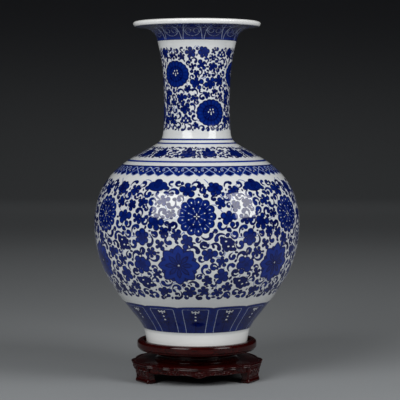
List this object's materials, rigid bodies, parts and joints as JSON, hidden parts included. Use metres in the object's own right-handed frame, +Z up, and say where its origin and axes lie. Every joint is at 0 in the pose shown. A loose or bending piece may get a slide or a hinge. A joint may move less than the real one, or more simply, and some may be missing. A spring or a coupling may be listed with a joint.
{
  "type": "vase on stand",
  "caption": "Tall-necked round-bellied porcelain vase with a flared lip, standing in the recess of a turned and lobed wooden stand on bracket feet.",
  "frame": {"origin": "on the surface the stand's feet stand on, under the vase's axis", "axes": "+Z up along the vase's axis, -Y towards the front apron, +X to the right seen from the front"},
  "size_m": [0.2566, 0.2566, 0.4452],
  "materials": {
    "porcelain": "clear gloss glaze over underglaze cobalt-blue painting on a white body",
    "rosewood": "dark red-brown lacquered hardwood, glossy",
    "dowel_wood": "plain beech, unfinished",
    "screw_steel": "zinc-plated steel, dull"
  },
  "bodies": {
    "stand": {"seat_disc": "rosewood", "waist_drum": "rosewood", "base_board": "rosewood", "apron_front": "rosewood", "apron_left": "rosewood", "apron_right": "rosewood", "foot_left": "rosewood", "foot_right": "rosewood", "foot_back": "rosewood", "dowel_left": "dowel_wood", "dowel_right": "dowel_wood", "dowel_back": "dowel_wood", "stand_screw_1": "screw_steel", "stand_screw_2": "screw_steel", "stand_screw_3": "screw_steel"},
    "vase": {"porcelain_vase": "porcelain"}
  },
  "joints": [
    {"name": "vase_lift", "type": "slide", "parent": "stand", "child": "vase", "axis": [0, 0, 1], "range_m": [0, 0.06]}
  ]
}
